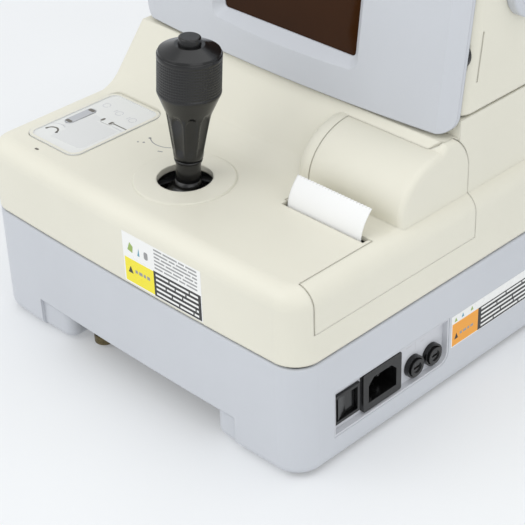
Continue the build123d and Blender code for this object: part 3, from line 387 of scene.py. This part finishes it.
def shade_ring_outline(inset):
    """Corners of a rounded rectangle inside the base's outline."""
    side = HALF - inset - SHADE_RING_CORNER
    front = base_low[1] + inset + BOW + SHADE_RING_CORNER
    rear = base_high[1] - inset - SHADE_RING_CORNER
    points = []
    middles = ((side, rear), (-side, rear), (-side, front), (side, front))
    for quarter, (middle_x, middle_y) in enumerate(middles):
        for step in range(SHADE_RING_STEPS + 1):
            angle = (quarter + step / SHADE_RING_STEPS) * pi / 2
            points.append((middle_x + SHADE_RING_CORNER * cos(angle), middle_y + SHADE_RING_CORNER * sin(angle)))
    return points


shade_ring_verts = []
for level in (base_high[2] + 0.02 * MM, base_high[2] + 1.5 * MM):
    for inset in (2.2 * MM, 4.2 * MM):
        shade_ring_verts += [Vector((x, y, level)) for x, y in shade_ring_outline(inset)]
shade_ring_faces = []
for index in range(SHADE_RING_POINTS):
    after = (index + 1) % SHADE_RING_POINTS
    corners = [(index + SHADE_RING_POINTS * level, after + SHADE_RING_POINTS * level) for level in range(4)]
    shade_ring_faces += [(corners[0][0], corners[1][0], corners[1][1], corners[0][1]),
                   (corners[2][0], corners[2][1], corners[3][1], corners[3][0]),
                   (corners[0][0], corners[0][1], corners[2][1], corners[2][0]),
                   (corners[1][0], corners[3][0], corners[3][1], corners[1][1])]
shade_ring_mesh = mesh_from("seam_shade_ring", shade_ring_verts, shade_ring_faces)
finish_piece("seam_shade_ring", shade_ring_mesh, "rubber", "base", smooth=False)

# ---------------------------------------------------------------- printed labels
LIFT = 0.02 * MM
FILM = 0.12 * MM
INK_FILM = 0.03 * MM
label_z = (82.4 * MM, 99.8 * MM, 117.2 * MM)
film("front_label_white", front_point, (-1.1 * MM, 66.5 * MM), (label_z[0], label_z[2]), FILM, LIFT,
     "label_white", "stage")
film("front_label_yellow", front_point, (0.0 * MM, 25.6 * MM), (label_z[0] + 0.8 * MM, label_z[1]), INK_FILM,
     LIFT + FILM, "label_yellow", "stage")
film("front_label_black", front_point, (25.6 * MM, 65.8 * MM), (label_z[0] + 0.4 * MM, label_z[1] + 0.6 * MM),
     INK_FILM, LIFT + FILM, "label_black", "stage")
bars("front_label_bar", front_point, (27.5 * MM, 63.5 * MM), (label_z[0] + 1 * MM, label_z[1]), 5,
     "label_white", "stage", (11, 16, 8, 13, 19), LIFT + FILM + INK_FILM)
bars("front_label_line", front_point, (27 * MM, 63.5 * MM), (label_z[1] + 2 * MM, label_z[2] - 0.6 * MM), 6,
     "print_grey", "stage", (7, 12, 5, 9, 15), LIFT + FILM)
bars("front_label_mark", front_point, (9 * MM, 23 * MM), (90 * MM, 95 * MM), 1,
     "print_grey", "stage", (2.2, 3.1, 1.8, 2.6), LIFT + FILM + INK_FILM)

side_z = (28.3 * MM, 45.2 * MM, 51.1 * MM)
side_y = (-104.0 * MM, -78.3 * MM, -8.0 * MM)
film("side_label_white", side_point, (side_y[0], side_y[2]), (side_z[0], side_z[2]), FILM, LIFT,
     "label_white", "base")
film("side_label_orange", side_point, (side_y[0] + 0.8 * MM, side_y[1]), (side_z[0] + 0.6 * MM, side_z[1]),
     INK_FILM, LIFT + FILM, "label_orange", "base")
film("side_label_black", side_point, (side_y[1], side_y[2] - 0.8 * MM), (side_z[0] + 0.4 * MM, side_z[1]),
     INK_FILM, LIFT + FILM, "label_black", "base")
bars("side_label_bar", side_point, (side_y[1] + 3 * MM, side_y[2] - 2 * MM), (side_z[0] + 1 * MM, side_z[1]),
     5, "label_white", "base", (24, 15, 31, 19, 12), LIFT + FILM + INK_FILM)
bars("side_label_mark", side_point, (side_y[0] + 8 * MM, side_y[1] - 3 * MM), (34 * MM, 38 * MM), 1,
     "print_grey", "base", (2.2, 3.1, 1.8, 2.6), LIFT + FILM + INK_FILM)

# ---------------------------------------------------------------- small print, keys and marks
INK = 0.04 * MM
PRINT = 0.01 * MM
PANEL_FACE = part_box("mains_inlet")[1][0] - 3 * MM    # the inlet's flange stands 3 mm proud of the panel


def deck_point(x, y, lift):
    """Point above the flat deck."""
    return Vector((x, y, DECK_Z + lift))


def panel_point(y, z, lift):
    """Point on the recessed face of the power panel."""
    return Vector((PANEL_FACE + lift, y, z))


def plate(name, place, outline, low, high, material, body):
    """Flat piece with a drawn outline, in mm, between two lifts above a surface."""
    count = len(outline)
    verts = [place(a * MM, b * MM, level) for level in (low, high) for a, b in outline]
    faces = [tuple(reversed(range(count))), tuple(range(count, 2 * count))]
    for index in range(count):
        after = (index + 1) % count
        faces.append((index, after, after + count, index + count))
    mesh = facing_out(mesh_from(name, verts, faces))
    return finish_piece(name, mesh, material, body, smooth=False)


def rounded(centre, size, corner, cells=6):
    """Outline of a rounded rectangle, in mm."""
    points = []
    for quarter, (side_x, side_y) in enumerate(((1, 1), (-1, 1), (-1, -1), (1, -1))):
        for step in range(cells + 1):
            angle = (quarter + step / cells) * pi / 2
            points.append((centre[0] + side_x * (size[0] / 2 - corner) + corner * cos(angle),
                           centre[1] + side_y * (size[1] / 2 - corner) + corner * sin(angle)))
    return points


def band(points, width):
    """Outline of a stroke of constant width along points, in mm."""
    left, right = [], []
    for index, point in enumerate(points):
        before = points[max(0, index - 1)]
        after = points[min(len(points) - 1, index + 1)]
        run = hypot(after[0] - before[0], after[1] - before[1])
        normal = (-(after[1] - before[1]) / run * width / 2, (after[0] - before[0]) / run * width / 2)
        left.append((point[0] + normal[0], point[1] + normal[1]))
        right.append((point[0] - normal[0], point[1] - normal[1]))
    return left + right[::-1]


def arc(centre, radius, start, end, cells=16):
    """Points along a circle, angles in degrees."""
    return [(centre[0] + radius * cos(radians(angle)), centre[1] + radius * sin(radians(angle)))
            for angle in steps(start, end, cells)]


RIM_LIFT = 0.6 * MM
rim = rounded((-97.5, -178.5), (46.8, 73.8), 6.6)
plate("panel_rim", deck_point, band(rim + rim[:1], 2.0), RIM_LIFT, RIM_LIFT + INK, "deck_panel", "stage")
window = [(-112.6, -193.5), (-107.0, -170.0), (-99.8, -171.0), (-99.0, -175.8), (-78.6, -175.8),
          (-78.2, -203.4), (-81.0, -206.8), (-106.0, -208.0), (-107.4, -201.6), (-105.6, -196.4),
          (-108.6, -194.0)]
plate("panel_window", deck_point, window, PRINT, PRINT + INK, "panel_blank", "stage")
panel_print = {
    "panel_arch": band(arc((-111.9, -203.4), 4.7, 12, 168), 1.3),
    "panel_arch_outer": band(arc((-112.6, -202.6), 9.0, 60, 176), 0.5),
    "panel_line_low": band([(-88.6, -170.6), (-75.4, -170.4)], 0.9),
    "panel_line_high": band([(-86.4, -173.6), (-76.4, -173.6)], 0.5),
    "panel_icon_roll": band(arc((-96.7, -158.7), 2.6, 0, 340), 0.5),
    "panel_icon_head": band(arc((-83.0, -159.3), 2.6, 0, 340), 0.5),
    "panel_icon_print": band(arc((-111.7, -156.7), 2.6, 0, 340), 0.5),
    "panel_icon_left": band([(-101.4, -159.6), (-101.0, -156.4)], 0.6),
    "panel_icon_right": band([(-87.6, -160.6), (-87.2, -157.4)], 0.6),
}
for label, outline in panel_print.items():
    tone = "print_dark" if label in ("panel_arch", "panel_line_low") else "print_faint"
    plate(label, deck_point, outline, PRINT, PRINT + INK, tone, "stage")
for label, centre in {"arch_foot_front": (-116.6, -203.0), "arch_foot_rear": (-107.2, -202.6)}.items():
    plate(label, deck_point, rounded(centre, (1.9, 1.9), 0.9), PRINT, PRINT + INK, "print_dark", "stage")

key_ends = {"print_key": ("print_button", 9.6, (5.4, 2.8)), "menu_key": ("menu_button", 3.9, (2.0, 3.8))}
for key, (body_name, end_shift, end_size) in key_ends.items():
    low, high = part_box(key)
    middle = ((low[0] + high[0]) / 2 / MM, (low[1] + high[1]) / 2 / MM)
    along_y = (high[1] - low[1]) > (high[0] - low[0])
    key_top = high[2] - DECK_Z + 0.005 * MM
    for end, side in (("low", -1), ("high", 1)):
        shift = (0, side * end_shift) if along_y else (side * end_shift, 0)
        outline = rounded((middle[0] + shift[0], middle[1] + shift[1]), end_size, 0.9)
        plate(f"{key}_end_{end}", deck_point, outline, key_top, key_top + INK, "print_dark", body_name)

dot = rounded((-98.9, -224.8), (3.4, 1.8), 0.85)
plate("deck_dot", deck_point, dot, PRINT, PRINT + INK, "print_dark", "stage")
ring_marks = {
    "ring_mark": band(arc((-46.8, -155.8), 15.0, 231, 311), 0.7),
    "ring_dot_start": rounded((-56.6, -167.6), (2.2, 1.8), 0.85),
    "ring_dot_near": rounded((-55.3, -173.9), (1.7, 1.5), 0.7),
    "ring_dot_far": rounded((-58.6, -175.9), (1.5, 1.3), 0.6),
    "ring_dash": band([(-40.3, -175.6), (-37.1, -174.3)], 1.0),
}
for label, outline in ring_marks.items():
    plate(label, deck_point, outline, PRINT, PRINT + INK, "print_grey", "stage")

power_lines = ((-143.0, -133.5, 47.5), (-141.0, -136.0, 44.8), (-130.5, -121.5, 48.5), (-129.0, -123.0, 46.0),
               (-127.5, -124.0, 43.4), (-204.0, -198.0, 48.6), (-195.0, -189.0, 48.6))
power_print = {}
for index, (start, end, low) in enumerate(power_lines):
    high = low + 0.6
    power_print[f"panel_print_{index}"] = [(start, low), (end, low), (end, high), (start, high)]
power_print["panel_print_rule"] = [(-132.6, 40.5), (-132.2, 40.5), (-132.2, 49.6), (-132.6, 49.6)]
for label, outline in power_print.items():
    plate(label, panel_point, outline, PRINT, PRINT + INK, "print_faint", "base")

ICON = LIFT + FILM
front_icons = {
    "front_icon_leaf": ([(3.2, 105.6), (7.6, 104.6), (8.2, 109.2), (5.4, 111.4)], "mark_green"),
    "front_icon_arrow": ([(12.0, 104.6), (14.0, 104.6), (13.4, 110.2)], "mark_blue"),
    "front_icon_person": (rounded((19.6, 107.4), (3.4, 5.2), 1.2), "print_grey"),
    "front_icon_warn": ([(2.6, 89.8), (7.2, 89.8), (4.9, 94.6)], "label_black"),
}
side_icons = {
    "side_icon_leaf": ([(-101.4, 46.4), (-98.6, 46.4), (-100.0, 49.4)], "mark_green"),
    "side_icon_person": ([(-94.6, 46.8), (-92.2, 46.8), (-93.4, 50.0)], "mark_blue"),
    "side_icon_arrow": ([(-86.0, 47.2), (-83.4, 47.2), (-84.7, 50.4)], "mark_green"),
    "side_icon_warn": ([(-101.0, 33.4), (-97.4, 33.4), (-99.2, 37.8)], "label_black"),
}
for icons, place, body_name in ((front_icons, front_point, "stage"), (side_icons, side_point, "base")):
    for label, (outline, tone) in icons.items():
        plate(label, place, outline, ICON, ICON + INK, tone, body_name)

# ---------------------------------------------------------------- paper slip
strip_low, strip_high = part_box("paper_strip")
slot_y = strip_low[1] + 0.1 * MM
slip_path = [(strip_low[1] + 2 * MM, DECK_Z - 12 * MM), (slot_y, DECK_Z - 8 * MM), (slot_y, DECK_Z - 3 * MM)]
slip_path += [(slot_y + 9.4 * MM * t ** 2.2, DECK_Z - 3 * MM + 19.4 * MM * t) for t in steps(0.08, 1.0, 16)]
SLIP_COLUMNS = 48
SLIP_THICKNESS = 0.12 * MM
TOOTH = 0.5 * MM    # depth of the torn edge's teeth
slip_verts = []
for offset in (0, SLIP_THICKNESS):
    for row, (path_y, path_z) in enumerate(slip_path):
        last = row == len(slip_path) - 1
        for column in range(SLIP_COLUMNS + 1):
            tooth = TOOTH if last and column % 2 else 0.0
            x = strip_low[0] + (strip_high[0] - strip_low[0]) * column / SLIP_COLUMNS
            slip_verts.append(Vector((x, path_y + offset, path_z - tooth)))
row_length = SLIP_COLUMNS + 1
half_count = len(slip_path) * row_length
front_faces = grid_faces(len(slip_path), row_length)
slip_faces = front_faces + [tuple(index + half_count for index in reversed(face)) for face in front_faces]
border = list(range(row_length))
border += [row * row_length + SLIP_COLUMNS for row in range(1, len(slip_path))]
border += [(len(slip_path) - 1) * row_length + column for column in range(SLIP_COLUMNS - 1, -1, -1)]
border += [row * row_length for row in range(len(slip_path) - 2, 0, -1)]
for index in range(len(border)):
    first, second = border[index], border[(index + 1) % len(border)]
    slip_faces.append((second, first, first + half_count, second + half_count))
slip_mesh = mesh_from("paper_slip", slip_verts, slip_faces)
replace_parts(finish_piece("paper_slip", slip_mesh, "paper", "stage"), "paper_strip")


# ---------------------------------------------------------------- studio and camera
LAMPS = {    # place, size, power
    "key": ((-0.7, -1.6, 1.5), 1.8, 13),
    "fill": ((1.7, -0.7, 1.1), 1.6, 7),
    "top": ((0.2, 0.5, 2.2), 2.2, 10),
}
LAMP_TARGET = Vector((0, -0.05, 0.12))
WORLD_COLOUR = (0.96, 0.98, 1.0, 1)
WORLD_STRENGTH = 0.80
FLOOR_DARK = (0.60, 0.61, 0.62)
FLOOR_PALE = (0.63, 0.64, 0.65)
FLOOR_GLOW = (0.97, 0.985, 1.0, 1)
FLOOR_GLOW_STRENGTH = 0.22    # keeps the shadows on the floor pale
VIEW_AZIMUTH = 0.8095
VIEW_ELEVATION = 0.5726
VIEW_ROLL = -0.0365
VIEW_LENS = 109.65
VIEW_PLACE = (0.6367, -0.7341, 0.6080)


def studio():
    """Plain pale floor and soft lights."""
    bpy.ops.mesh.primitive_plane_add(size=6, location=(0, 0, 0))
    floor = bpy.context.object
    floor.name = "floor"
    material, tree, shader = new_material("floor_paper")
    tree.links.new(ramp(tree, noise(tree, 3), FLOOR_DARK, FLOOR_PALE), shader.inputs["Base Color"])
    shader.inputs["Roughness"].default_value = 0.6
    shader.inputs["Emission Color"].default_value = FLOOR_GLOW
    shader.inputs["Emission Strength"].default_value = FLOOR_GLOW_STRENGTH
    floor.data.materials.append(material)
    world = bpy.data.worlds.new("studio")
    world.use_nodes = True
    world.node_tree.nodes["Background"].inputs["Color"].default_value = WORLD_COLOUR
    world.node_tree.nodes["Background"].inputs["Strength"].default_value = WORLD_STRENGTH
    bpy.context.scene.world = world
    for name, (place, size, power) in LAMPS.items():
        lamp = bpy.data.lights.new(name, "AREA")
        lamp.size = size
        lamp.energy = power
        holder = bpy.data.objects.new(name, lamp)
        holder.location = place
        holder.rotation_euler = (LAMP_TARGET - Vector(place)).to_track_quat("-Z", "Y").to_euler()
        bpy.context.scene.collection.objects.link(holder)


def camera():
    """Close three-quarter view from the operator's right."""
    flat = cos(VIEW_ELEVATION)
    back = Vector((sin(VIEW_AZIMUTH) * flat, -cos(VIEW_AZIMUTH) * flat, sin(VIEW_ELEVATION)))
    right = (-back).cross(Vector((0, 0, 1))).normalized()
    up = right.cross(-back)
    turned_right = right * cos(VIEW_ROLL) + up * sin(VIEW_ROLL)
    turned_up = up * cos(VIEW_ROLL) - right * sin(VIEW_ROLL)
    data = bpy.data.cameras.new("camera")
    data.sensor_width = 36
    data.lens = VIEW_LENS
    eye = bpy.data.objects.new("camera", data)
    turn = Matrix((turned_right, turned_up, back)).transposed().to_4x4()
    eye.matrix_world = Matrix.Translation(VIEW_PLACE) @ turn
    bpy.context.scene.collection.objects.link(eye)
    bpy.context.scene.camera = eye


studio()
camera()
bpy.context.scene.view_settings.view_transform = "Standard"
